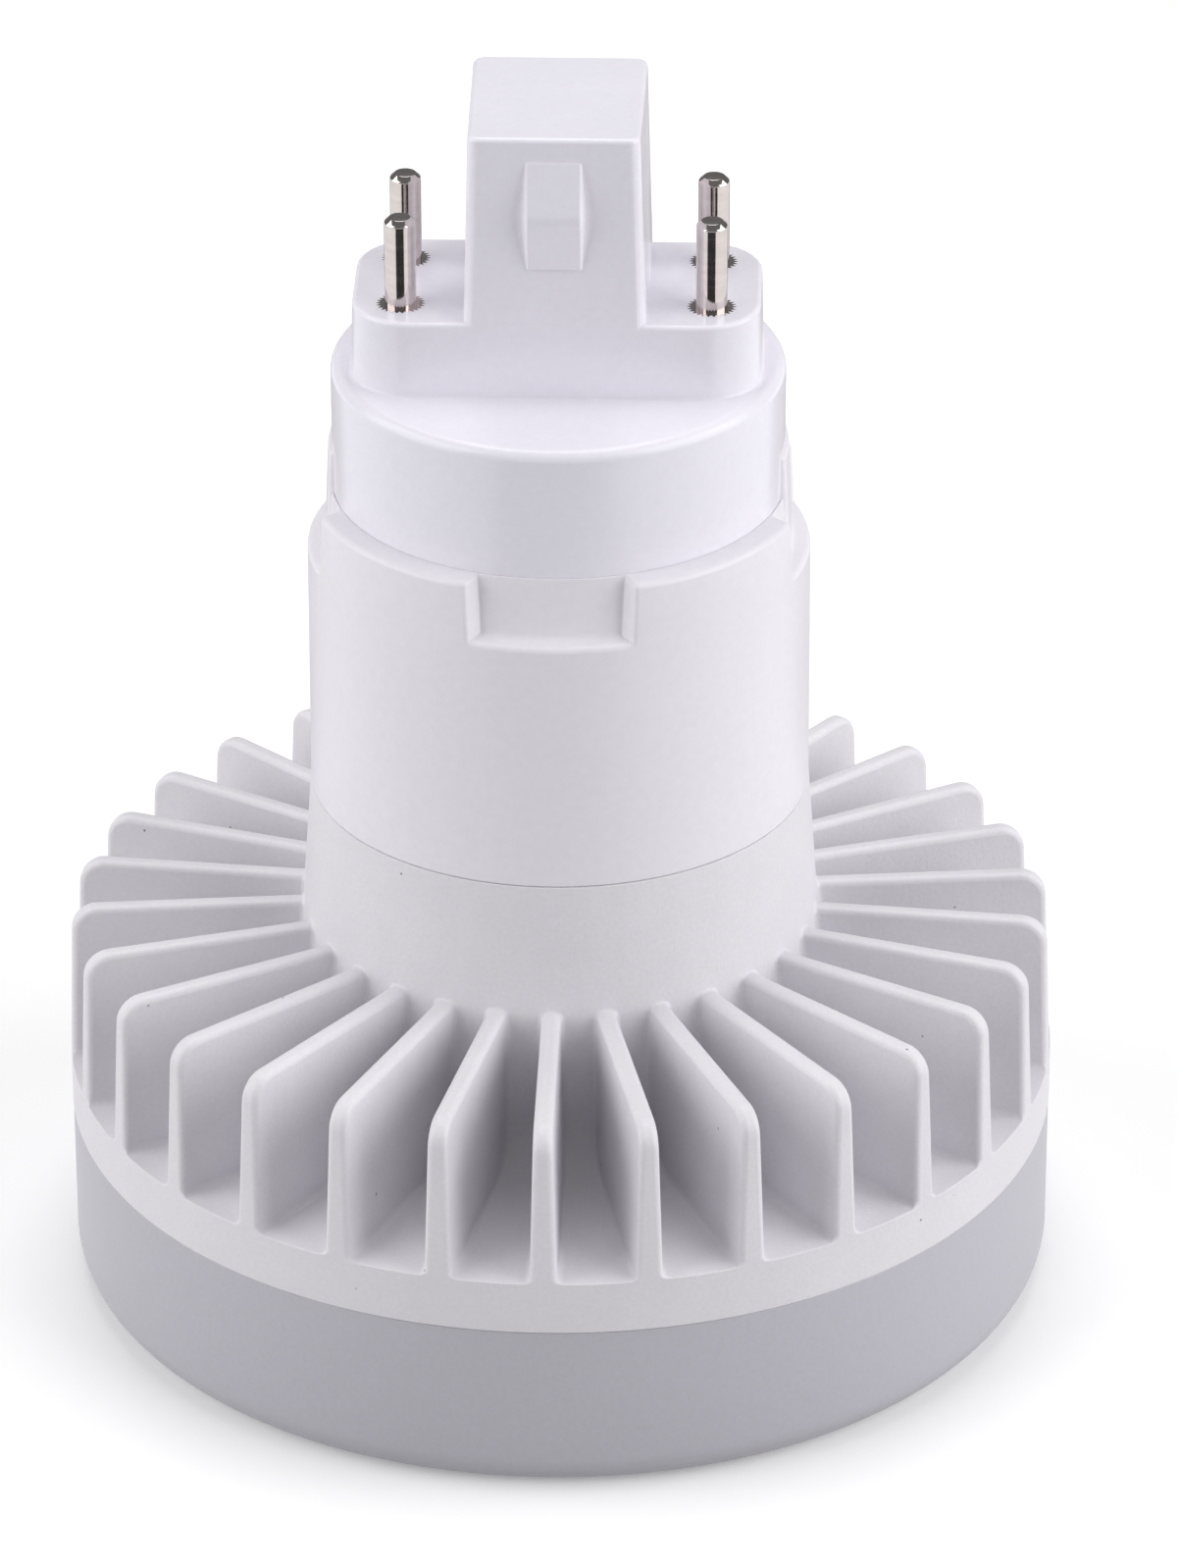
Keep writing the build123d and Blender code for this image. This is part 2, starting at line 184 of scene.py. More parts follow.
def buildHeatSink(spec):
    bm = bmesh.new()
    weight = bm.edges.layers.float.new("bevel_weight_edge")
    floorZ, topZ, fins = spec["floorZ"], spec["finTopZ"], spec["fins"]
    drafts = [spec[key] for key in ("hubDraft", "finDraft", "endDraft")]
    hubSlope, finSlope, endSlope = [tan(radians(a)) for a in drafts]
    pitch, front = 2 * pi / fins, -pi / 2

    def hubRadius(z):
        return spec["hubTop"] + (hubTopZ - z) * hubSlope

    def halfWidth(z):
        return spec["footWidth"] / 2 - (z - floorZ) * finSlope

    def sector(i, r, z):
        # angles of one pitch: right side of this fin, across the channel, left side of the next
        side = asin(halfWidth(z) / r)
        start, end = front + i * pitch + side, front + (i + 1) * pitch - side
        return spread(start, end, spec["channelSteps"])

    def mark(line, size):
        markLine(bm, weight, line, size / spec["footRound"])

    # channel line from the rim to the hub, with the rounded root between
    root, rootEnd = spec["rootRound"], spec["hubDraft"] - 180
    rootX = hubRadius(floorZ + root) + root / cos(radians(spec["hubDraft"]))
    rootLine = arcPoints(rootX, floorZ + root, root, -90, rootEnd, spec["arcSteps"])
    channel = [(rimRadius, floorZ), *rootLine, (hubRadius(topZ), topZ)]
    # rounded outer corner of a fin
    corner = spec["corner"]
    cornerZ = topZ - corner
    cornerX = rimRadius - (cornerZ - floorZ) * endSlope - corner
    outline = arcPoints(cornerX, cornerZ, corner, 0, 90, spec["arcSteps"])

    # channel floors
    grid = [[addRing(bm, r, z, sector(i, r, z)) for i in range(fins)] for r, z in channel]
    for low, high in zip(grid, grid[1:]):
        for a, b in zip(low, high):
            addStrip(bm, a, b)
    # fins
    for i in range(fins):
        c, s = cos(front + i * pitch), sin(front + i * pitch)
        sides = []
        for side, sectorIndex, end in ((1, i, 0), (-1, i - 1, -1)):
            foot = [level[sectorIndex][end] for level in grid]
            places = [(x, side * halfWidth(z), z) for x, z in outline]
            top = addPoints(bm, [(x * c - y * s, x * s + y * c, z) for x, y, z in places])
            line = [foot[0], *top, foot[-1]]
            loop = line + foot[-2:0:-1]
            bm.faces.new(loop if side > 0 else loop[::-1])
            mark(line, spec["edgeRound"])
            mark(foot, spec["footRound"])
            sides.append(line)
        right, left = sides
        addStrip(bm, right, left)
        mark([right[-1], left[-1]], spec["hubRound"])

    # closed rings below the rim and above the fins
    rimTop, hubFoot = [[v for part in grid[k] for v in part] for k in (0, -1)]
    rimTurn, hubTurn = [[atan2(v.co.y, v.co.x) for v in loop] for loop in (rimTop, hubFoot)]
    rimFoot = addRing(bm, rimRadius, lensSeamZ, rimTurn)
    hubTop = addRing(bm, spec["hubTop"], hubTopZ, hubTurn)
    boreTop = addRing(bm, spec["bore"], hubTopZ, hubTurn)
    boreFoot = addRing(bm, spec["bore"], spec["boreFloorZ"], hubTurn)
    for low, high in ((rimFoot, rimTop), (hubFoot, hubTop), (hubTop, boreTop), (boreTop, boreFoot)):
        addStrip(bm, low, high, closed=True)
    bm.faces.new(rimFoot[::-1])
    bm.faces.new(boreFoot)
    for part in grid[0]:
        mark(part, spec["lineRound"])
    mark([*rimFoot, rimFoot[0]], spec["lineRound"])
    mark([*hubTop, hubTop[0]], spec["seamRound"])
    obj = makePiece("heatSinkCasting", bm, ["heat_sink"], spec["sharpAngle"])
    roundEdges(obj, spec["footRound"], spec["bevelSteps"])
    return obj


heatSinkCasting = buildHeatSink(sinkSpec)
print("heat sink built")


# contact pins

pinSpec = {
    "circle": 24.0, "pairGap": 8.0, "radius": 1.15, "length": 6.85, "depth": 1.7,
    "chamfer": 0.35, "shoulderRound": 0.25, "shoulderDrop": 0.1, "tipRound": 0.08, "tipInset": 0.05,
    "dimple": 0.45, "dimpleDepth": 0.05, "lipWidth": 0.06, "lipDrop": 0.01,
    "dimpleFlat": 0.27, "flatDepth": 0.0425,
    "flange": 1.82, "flangeRise": 0.02, "teeth": 26, "toothDepth": 0.34,
    "steps": 48, "shoulderSteps": 4, "tipSteps": 3, "sharpAngle": 40,
}


def buildPin(spec):
    footZ, tipZ = plinthTopZ - spec["depth"], plinthTopZ + spec["length"]
    r, dimple = spec["radius"], spec["dimple"]
    shoulder, tip = spec["shoulderRound"], spec["tipRound"]
    shoulderZ = tipZ - spec["chamfer"] - spec["shoulderDrop"]
    tipX = r - spec["chamfer"] - spec["tipInset"]
    profile = [(0, footZ), (r, footZ)]
    profile += arcPoints(r - shoulder, shoulderZ, shoulder, 0, 45, spec["shoulderSteps"])
    profile += arcPoints(tipX, tipZ - tip, tip, 45, 90, spec["tipSteps"])
    profile += [(dimple + spec["lipWidth"], tipZ), (dimple, tipZ - spec["lipDrop"])]
    profile += [(spec["dimpleFlat"], tipZ - spec["flatDepth"]), (0, tipZ - spec["dimpleDepth"])]
    bm = turnProfile(profile, spec["steps"])
    # knurled flange, flush with the plinth
    line = []
    for i in range(2 * spec["teeth"]):
        reach, a = spec["flange"] - (i % 2) * spec["toothDepth"], pi * i / spec["teeth"]
        line.append((reach * cos(a), reach * sin(a)))
    low = addPoints(bm, [(x, y, footZ) for x, y in line])
    high = addPoints(bm, [(x, y, plinthTopZ + spec["flangeRise"]) for x, y in line])
    addStrip(bm, low, high, closed=True)
    bm.faces.new(low[::-1])
    bm.faces.new(high)
    return bm


def placePins(spec):
    pinX = sqrt(spec["circle"] ** 2 - spec["pairGap"] ** 2) / 2
    pinY = spec["pairGap"] / 2
    made = []
    for number, (sx, sy) in enumerate(((-1, -1), (1, -1), (1, 1), (-1, 1)), 1):
        bm = buildPin(spec)
        bmesh.ops.translate(bm, verts=bm.verts, vec=(sx * pinX * mm, sy * pinY * mm, 0))
        replaced = [f"contact_pin_{number}"]
        made.append(makePiece(f"plugPin{number}", bm, replaced, spec["sharpAngle"]))
    return made


plugPins = placePins(pinSpec)
print("pins built")


# collar: the notched driver housing, with its two tongues

collarSpec = {
    "radius": 18.68, "baseRadius": 18.74, "crestRadius": 18.48, "bore": 16.79,
    "seamGap": 0.05, "notchZ": 60.0, "topZ": 64.8, "slopeDrop": 0.2,
    # half angles of a notch at its foot and top, in degrees, and how they change
    "notchFoot": 19.0, "notchTop": 19.65, "sideWiden": 1.6,
    "footFlare": 2.0, "topFlare": 1.25, "innerFlare": 3.2,
    "webFoot": 17.4, "webFootZ": 60.25, "webTop": 16.9,
    "tongueHalf": 3.1, "tongueFoot": 59.0, "tongueTop": 68.2,
    "tongueInner": 16.4, "tongueLift": 0.03, "tongueTopRadius": 17.02,
    "edgeRound": 0.34, "notchRound": 0.26, "innerRound": 0.1,
    "webFillet": 0.28, "webRound": 0.04, "tongueRound": 0.39,
    "wallSteps": 18, "notchSteps": 14, "tongueSteps": 10, "bevelSteps": 4, "sharpAngle": 40,
}


def buildCollar(spec):
    bm = bmesh.new()
    weight = bm.edges.layers.float.new("bevel_weight_edge")
    outer, crest, bore = spec["radius"], spec["crestRadius"], spec["bore"]
    footZ, notchZ, topZ = hubTopZ + spec["seamGap"], spec["notchZ"], spec["topZ"]
    wallSteps, notchSteps = spec["wallSteps"], spec["notchSteps"]

    def slopeZ(r):
        # the top falls off from the bore to the crest
        return topZ - (r - bore) * spec["slopeDrop"] / (crest - bore)

    def ring(r, z, turn):
        return addRing(bm, r, z, [radians(a) for a in turn])

    def mark(line, size):
        markLine(bm, weight, line, size / spec["edgeRound"])

    # the notches left and right are a little wider than those in front and behind
    widen = (spec["sideWiden"], 0) * 2
    foot = [spec["notchFoot"] + w for w in widen]
    top = [spec["notchTop"] + w for w in widen]
    innerTop = [a - spec["innerFlare"] for a in top]
    walls, webs = [], []
    for q in range(4):
        mid, following = 90 * q, (q + 1) % 4
        footTurn = spread(mid + foot[q], mid + 90 - foot[following], wallSteps)
        crestTurn = spread(mid + top[q], mid + 90 - top[following], wallSteps)
        innerTurn = [mid + innerTop[q], *crestTurn[1:-1], mid + 90 - innerTop[following]]
        walls.append({
            "shelf": ring(outer, notchZ, footTurn),
            "crest": ring(crest, slopeZ(crest), crestTurn),
            "inner": ring(bore, topZ, innerTurn),
            "innerFoot": ring(bore, footZ, innerTurn),
            "base": ring(spec["baseRadius"], footZ, footTurn),
        })
        footHalf, topHalf = foot[q] - spec["footFlare"], top[q] - spec["topFlare"]
        webs.append({
            "foot": ring(spec["webFoot"], spec["webFootZ"],
                         spread(mid - footHalf, mid + footHalf, notchSteps)),
            "top": ring(spec["webTop"], slopeZ(spec["webTop"]),
                        spread(mid - topHalf, mid + topHalf, notchSteps)),
        })
    for q in range(4):
        mid, here, after = 90 * q, walls[q - 1], walls[q]
        webFoot, webTop, nextTop = webs[q]["foot"], webs[q]["top"], webs[(q + 1) % 4]["top"]

        def across(name, r, z, half):
            # from the end of one wall to the start of the next
            turn = spread(mid - half, mid + half, notchSteps)[1:-1]
            return [here[name][-1], *ring(r, z, turn), after[name][0]]

        shelf = across("shelf", outer, notchZ, foot[q])
        inner = across("inner", bore, topZ, innerTop[q])
        innerFoot = across("innerFoot", bore, footZ, innerTop[q])
        base = across("base", spec["baseRadius"], footZ, foot[q])
        # below and inside the notch, then the wall between it and the next
        lines = [base, shelf, webFoot, webTop, inner, innerFoot, base]
        for low, high in zip(lines, lines[1:]):
            addStrip(bm, low, high)
        for low, high in (("base", "shelf"), ("shelf", "crest"),
                          ("inner", "innerFoot"), ("innerFoot", "base")):
            addStrip(bm, after[low], after[high])
        # top of the wall, which takes in the end of the web on both sides
        for k in range(wallSteps):
            corners = [after["crest"][k], after["crest"][k + 1]]
            if k == wallSteps - 1:
                corners.append(nextTop[0])
            corners += [after["inner"][k + 1], after["inner"][k]]
            if k == 0:
                corners.append(webTop[-1])
            bm.faces.new(corners)
        # slanted cheeks of the notch
        bm.faces.new((webFoot[0], webTop[0], here["crest"][-1], shelf[0]))
        bm.faces.new((shelf[-1], after["crest"][0], webTop[-1], webFoot[-1]))
        mark(shelf, spec["edgeRound"])
        mark(webFoot, spec["webFillet"])
        mark(webTop, spec["webRound"])
        mark(after["crest"], spec["edgeRound"])
        mark(after["base"], spec["innerRound"])
        mark(base, spec["innerRound"])
        for end, wallEnd in ((0, here["crest"][-1]), (-1, after["crest"][0])):
            mark([shelf[end], wallEnd, webTop[end]], spec["notchRound"])
            mark([webTop[end], webFoot[end], shelf[end]], spec["innerRound"])
    # tongues up the left and right sides of the cap
    inside, lowZ, highZ = spec["tongueInner"], spec["tongueFoot"], spec["tongueTop"]
    outline = [(inside, lowZ), (spec["webFoot"] + spec["tongueLift"], lowZ),
               (spec["tongueTopRadius"], highZ), (inside, highZ)]
    places = spread(-spec["tongueHalf"], spec["tongueHalf"], spec["tongueSteps"])
    for side in (1, -1):
        rows = []
        for r, z in outline:
            rows.append(addPoints(bm, [(side * sqrt(r * r - y * y), side * y, z) for y in places]))
        for low, high in zip(rows, rows[1:] + rows[:1]):
            addStrip(bm, low, high)
        for end in (0, -1):
            line = [row[end] for row in rows]
            bm.faces.new(line if end else line[::-1])
            mark(line[1:], spec["tongueRound"])
        mark(rows[2], spec["tongueRound"])
    obj = makePiece("driverCollar", bm, ["driver_housing"], spec["sharpAngle"])
    roundEdges(obj, spec["edgeRound"], spec["bevelSteps"])
    return obj


driverCollar = buildCollar(collarSpec)
print("collar built")


# plug cap: round body, plinth, post and the two wedge catches joined into one moulding

capSpec = {
    "radius": 16.75, "footZ": 57.8, "topZ": 74.8, "edge": 0.85,
    "draft": 1.5, "topRound": 0.35, "leastCorner": 0.2,
    "bodySteps": 180, "edgeSteps": 7, "cornerSteps": 8, "filletSteps": 4, "roundSteps": 5,
    "sharpAngle": 35,
    # half sizes; the taper makes the back wider than the front
    "plinth": {"x": 15.06, "y": 7.62, "corner": 4.5, "top": plinthTopZ, "bury": 0.4,
               "footRound": 0.3, "taper": 0.0},
    "post": {"x": 6.83, "y": 7.65, "corner": 0.9, "top": lampHeight, "bury": 0.3,
             "footRound": 0.0, "taper": 0.18},
    "catch": {"x": 2.0, "footZ": 85.17, "height": 8.3, "depth": 1.05, "step": 0.15, "bury": 0.5,
              "round": 0.2, "roundEnd": 25, "ridgeSoft": 0.02, "cheek": 1.3, "cheekSink": 0.03,
              "bendX": 0.05, "bendY": 0.1, "bendPull": 3.0,
              "roundSteps": 5, "cheekSteps": 10, "rows": 20},
}


def roundedRing(halfX, halfY, corner, steps):
    ring = []
    for sx, sy, start in ((1, 1, 0), (-1, 1, 90), (-1, -1, 180), (1, -1, 270)):
        cx, cy = sx * (halfX - corner), sy * (halfY - corner)
        ring += arcPoints(cx, cy, corner, start, start + 90, steps)
    return ring


def stackRings(levels, taper, steps):
    # each level: half sizes, corner radius and height
    bm = bmesh.new()
    rows = []
    for halfX, halfY, corner, z in levels:
        widen = taper / (2 * halfX * halfY)
        line = roundedRing(halfX, halfY, corner, steps)
        rows.append(addPoints(bm, [(x * (1 + widen * y), y, z) for x, y in line]))
    for low, high in zip(rows, rows[1:]):
        addStrip(bm, low, high, closed=True)
    bm.faces.new(rows[0][::-1])
    bm.faces.new(rows[-1])
    return bm


def draftedBlock(spec, block):
    # drafted ends, a rounded top and, on the plinth, a fillet at the foot
    lean = tan(radians(spec["draft"]))
    footZ, fillet, t = spec["topZ"], block["footRound"], spec["topRound"]
    levels = []

    def level(z, grow):
        halfX = block["x"] - (z - footZ) * lean + grow
        corner = max(block["corner"] + grow, spec["leastCorner"])
        levels.append((halfX, block["y"] + grow, corner, z))

    level(footZ - block["bury"], fillet)
    if fillet:
        for x, z in arcPoints(0, 0, fillet, 270, 180, spec["filletSteps"]):
            level(footZ + fillet + z, fillet + x)
    for x, z in arcPoints(0, 0, t, 0, 90, spec["roundSteps"]):
        level(block["top"] - t + z, x - t)
    return stackRings(levels, block["taper"], spec["cornerSteps"])


def catchBlock(spec, faceY, side):
    # wedge with a soft ridge, its long edges rounded and its cheeks running out on the post
    bm = bmesh.new()
    halfX, edge, soft = spec["x"], spec["round"], spec["ridgeSoft"]

    def section(depth):
        # half of the wedge across its width, from the middle out: place and height above the post
        line = [(0.0, depth)]
        line += arcPoints(halfX - edge, depth - edge, edge, 90, spec["roundEnd"], spec["roundSteps"])
        # the cheek drops steeply and then runs out flat
        wide = spec["cheek"] * depth / spec["depth"]
        bend = (halfX + spec["bendX"] * wide, spec["bendY"] * depth)
        guides = (line[-1], bend, (halfX + wide, -spec["cheekSink"]))
        for t in spread(0, 1, spec["cheekSteps"])[1:]:
            pull = ((1 - t) ** 2, 2 * spec["bendPull"] * t * (1 - t), t * t)
            line.append([sum(p * v for p, v in zip(pull, axis)) / sum(pull) for axis in zip(*guides)])
        return line

    outer, inner = [], []
    for u in spread(0, 1, spec["rows"]):
        ridge = sqrt(1 + soft) - sqrt((2 * u - 1) ** 2 + soft)
        half = section(spec["step"] + (spec["depth"] - spec["step"]) * ridge)
        line = [(-x, y) for x, y in reversed(half[1:])] + half
        z = spec["footZ"] + u * spec["height"]
        outer.append(addPoints(bm, [(x, side * (faceY + y), z) for x, y in line]))
        inner.append(addPoints(bm, [(x, side * (faceY - spec["bury"]), z) for x, _ in line]))
    for rows in (outer, inner):
        for a, b in zip(rows, rows[1:]):
            addStrip(bm, a, b)
    for end in (0, -1):
        addStrip(bm, [row[end] for row in outer], [row[end] for row in inner])
        addStrip(bm, outer[end], inner[end])
    return bm


def uniteShells(shells):
    # joins closed shells into one skin
    made = []
    for bm in shells:
        bmesh.ops.recalc_face_normals(bm, faces=bm.faces)
        made.append(addObject("shell", toMesh("shell", bm)))
    for other in made[1:]:
        join = made[0].modifiers.new("join", "BOOLEAN")
        join.operation = "UNION"
        join.solver = "EXACT"
        join.object = other
    joined = bmesh.new()
    joined.from_object(made[0], bpy.context.evaluated_depsgraph_get())
    for obj in made:
        mesh = obj.data
        bpy.data.objects.remove(obj)
        bpy.data.meshes.remove(mesh)
    return joined


def buildCap(spec):
    r, e, topZ = spec["radius"], spec["edge"], spec["topZ"]
    profile = [(0, spec["footZ"]), (r, spec["footZ"])]
    profile += arcPoints(r - e, topZ - e, e, 0, 90, spec["edgeSteps"])
    profile += [(0, topZ)]
    shells = [turnProfile(profile, spec["bodySteps"])]
    shells += [draftedBlock(spec, spec[name]) for name in ("plinth", "post")]
    shells += [catchBlock(spec["catch"], spec["post"]["y"], side) for side in (1, -1)]
    obj = makePiece("plugCap", uniteShells(shells), ["base_cap"], spec["sharpAngle"])
    keepFlat(obj)
    return obj


plugCap = buildCap(capSpec)
print("cap built")


# node helpers

noiseLow, noiseHigh = 0.3, 0.7  # a noise value rarely leaves this range
toneLow, toneHigh = 0.75, 1.25  # nor do two of them added leave this one
speckCore, speckEdge = 0.05, 0.11  # distance from the middle of a cell


def addNode(tree, kind, inputs=None, **settings):
    node = tree.nodes.new(kind)
    for key, value in settings.items():
        setattr(node, key, value)
    for key, value in (inputs or {}).items():
        if isinstance(value, bpy.types.NodeSocket):
            tree.links.new(value, node.inputs[key])
        else:
            node.inputs[key].default_value = value
    return node


def mixColour(tree, mask, first, second):
    # sockets 6 and 7 are the two colours, output 2 is their mix
    node = addNode(tree, "ShaderNodeMix", {0: mask, 6: first, 7: second}, data_type="RGBA")
    return node.outputs[2]


def mapValue(tree, value, low, high, newLow, newHigh):
    limits = {"From Min": low, "From Max": high, "To Min": newLow, "To Max": newHigh}
    return addNode(tree, "ShaderNodeMapRange", {"Value": value, **limits}).outputs["Result"]


def addNoise(tree, place, scale, detail):
    inputs = {"Vector": place, "Scale": scale, "Detail": detail}
    return addNode(tree, "ShaderNodeTexNoise", inputs).outputs["Fac"]


def addMath(tree, operation, first, second):
    return addNode(tree, "ShaderNodeMath", {0: first, 1: second}, operation=operation).outputs[0]


def addDot(tree, first, second):
    inputs = {0: first, 1: second}
    return addNode(tree, "ShaderNodeVectorMath", inputs, operation="DOT_PRODUCT").outputs["Value"]


def rgb(*tone):
    return (*tone, 1.0)


# shared effects

def startGroup(name, inputs, outputs):
    group = bpy.data.node_groups.new(name, "ShaderNodeTree")
    for label, kind in inputs.items():
        group.interface.new_socket(name=label, in_out="INPUT", socket_type="NodeSocket" + kind)
    for label, kind in outputs.items():
        group.interface.new_socket(name=label, in_out="OUTPUT", socket_type="NodeSocket" + kind)
    given = group.nodes.new("NodeGroupInput").outputs
    out = group.nodes.new("NodeGroupOutput").inputs
    place = addNode(group, "ShaderNodeTexCoord").outputs["Object"]
    return group, given, out, place


def buildGrainGroup():
    # cloudy tone with a fine grain on top
    inputs = {"Light": "Color", "Shade": "Color", "Patch Scale": "Float", "Grain Scale": "Float"}
    outputs = {"Colour": "Color", "Patch": "Float", "Grain": "Float"}
    group, given, out, place = startGroup("surfaceGrain", inputs, outputs)
    patch = addNoise(group, place, given["Patch Scale"], detail=3.0)
    grain = addNoise(group, place, given["Grain Scale"], detail=2.0)
    tone = mapValue(group, addMath(group, "ADD", patch, grain), toneLow, toneHigh, 0.0, 1.0)
    group.links.new(mixColour(group, tone, given["Shade"], given["Light"]), out["Colour"])
    group.links.new(patch, out["Patch"])
    group.links.new(grain, out["Grain"])
    return group


def buildSpeckGroup():
    # sparse round specks of dust, one in the given share of the cells
    inputs = {"Scale": "Float", "Share": "Float"}
    group, given, out, place = startGroup("dustSpecks", inputs, {"Mask": "Float"})
    cells = addNode(group, "ShaderNodeTexVoronoi", {"Vector": place, "Scale": given["Scale"]})
    spot = mapValue(group, cells.outputs["Distance"], speckCore, speckEdge, 1.0, 0.0)
    draw = addNode(group, "ShaderNodeSeparateColor", {0: cells.outputs["Color"]}).outputs[0]
    kept = addMath(group, "LESS_THAN", draw, given["Share"])
    group.links.new(addMath(group, "MULTIPLY", spot, kept), out["Mask"])
    return group


def buildStreakGroup():
    # fine lines left by drawing or turning
    inputs = {"Stretch": "Vector", "Scale": "Float"}
    group, given, out, place = startGroup("toolStreaks", inputs, {"Line": "Float"})
    pull = {0: place, 1: given["Stretch"]}
    pulled = addNode(group, "ShaderNodeVectorMath", pull, operation="MULTIPLY").outputs[0]
    group.links.new(addNoise(group, pulled, given["Scale"], detail=4.0), out["Line"])
    return group


def buildBandGroup():
    # mask between two heights along one axis of the lamp, in metres
    inputs = {"Axis": "Vector", "Start": "Float", "End": "Float"}
    group, given, out, place = startGroup("heightBand", inputs, {"Mask": "Float"})
    reach = addDot(group, place, given["Axis"])
    group.links.new(mapValue(group, reach, given["Start"], given["End"], 0.0, 1.0), out["Mask"])
    return group


def useGroup(tree, group, **inputs):
    named = {key.replace("_", " "): value for key, value in inputs.items()}
    return addNode(tree, "ShaderNodeGroup", named, node_tree=group).outputs


grainGroup = buildGrainGroup()
speckGroup = buildSpeckGroup()
streakGroup = buildStreakGroup()
bandGroup = buildBandGroup()


# outer finishes

def newFinish(name, metallic):
    material = bpy.data.materials.new(name)
    material.use_nodes = True
    tree = material.node_tree
    shader = tree.nodes["Principled BSDF"]
    shader.inputs["Metallic"].default_value = metallic
    return material, tree, shader


def setBump(tree, shader, height, strength, depth):
    inputs = {"Height": height, "Strength": strength, "Distance": depth * mm}
    bump = addNode(tree, "ShaderNodeBump", inputs)
    tree.links.new(bump.outputs["Normal"], shader.inputs["Normal"])


def grainFinish(name, spec):
    # moulded, cast or painted surface: tone, grain, dust and a matching sheen
    material, tree, shader = newFinish(name, spec.get("metallic", 0.0))
    grain = useGroup(tree, grainGroup, Light=rgb(*spec["light"]), Shade=rgb(*spec["shade"]),
                     Patch_Scale=spec["patch"], Grain_Scale=spec["grain"])
    colour = grain["Colour"]
    if "specks" in spec:
        scale, share = spec["specks"]
        mask = useGroup(tree, speckGroup, Scale=scale, Share=share)["Mask"]
        colour = mixColour(tree, mask, colour, rgb(*spec["speckTone"]))
    tree.links.new(colour, shader.inputs["Base Color"])
    rough = mapValue(tree, grain["Patch"], noiseLow, noiseHigh, *spec["rough"])
    tree.links.new(rough, shader.inputs["Roughness"])
    setBump(tree, shader, grain["Grain"], *spec["bump"])
    return material, tree, shader, colour


def dress(objects, material):
    for obj in objects:
        obj.data.materials.clear()
        obj.data.materials.append(material)


# rough is a range, bump is strength and depth in mm, specks is scale and share
outerFinishes = {
    "castingPowder": {
        "light": (0.825, 0.805, 0.843), "shade": (0.785, 0.765, 0.803),
        "patch": 150.0, "grain": 3200.0, "rough": (0.42, 0.58), "bump": (0.5, 0.045),
        "specks": (800.0, 0.03), "speckTone": (0.25, 0.24, 0.23)},
    "collarSatin": {
        "light": (0.895, 0.868, 0.922), "shade": (0.865, 0.838, 0.891),
        "patch": 60.0, "grain": 1500.0, "rough": (0.3, 0.4), "bump": (0.1, 0.02),
        "specks": (420.0, 0.02), "speckTone": (0.35, 0.33, 0.31)},
    "capGloss": {
        "light": (0.905, 0.88, 0.957), "shade": (0.878, 0.853, 0.928),
        "patch": 110.0, "grain": 1800.0, "rough": (0.17, 0.27), "bump": (0.08, 0.02),
        "specks": (420.0, 0.02), "speckTone": (0.4, 0.39, 0.4)},
    # frosted lens: its own grey-lavender tint, kept darker as painted shade for the dark inside
    # showing through the translucent cup
    "lensFrostShade": {
        "light": (0.535, 0.52, 0.57), "shade": (0.508, 0.493, 0.543),
        "patch": 40.0, "grain": 2600.0, "rough": (0.34, 0.44), "bump": (0.12, 0.02)},
}
outerPieces = {"castingPowder": heatSinkCasting, "collarSatin": driverCollar,
               "capGloss": plugCap, "lensFrostShade": lensCup}
for finishName, piece in outerPieces.items():
    dress([piece], grainFinish(finishName, outerFinishes[finishName])[0])


# nickel pins: bright plating with faint turning lines and a slight waver

nickelSpec = {
    "light": (0.70, 0.64, 0.62), "shade": (0.52, 0.47, 0.455), "rough": (0.06, 0.13),
    "lines": 2200.0, "lineStretch": (0.2, 0.2, 1.0),
    "waver": 900.0, "waverStretch": (1.0, 1.0, 0.35), "bump": (0.25, 0.02),
}


def nickelFinish(spec):
    material, tree, shader = newFinish("pinNickel", 1.0)
    line = useGroup(tree, streakGroup, Stretch=spec["lineStretch"], Scale=spec["lines"])["Line"]
    waver = useGroup(tree, streakGroup, Stretch=spec["waverStretch"], Scale=spec["waver"])["Line"]
    colour = mixColour(tree, line, rgb(*spec["shade"]), rgb(*spec["light"]))
    tree.links.new(colour, shader.inputs["Base Color"])
    rough = mapValue(tree, line, noiseLow, noiseHigh, *spec["rough"])
    tree.links.new(rough, shader.inputs["Roughness"])
    setBump(tree, shader, waver, *spec["bump"])
    return material


dress(plugPins, nickelFinish(nickelSpec))
print("outer finishes set")


# pieces inside the lamp: lines are stretch, scale and tone, face is an axis and the tone towards it,
# and metalFrom is an axis with the two places between which the surface turns to bare metal

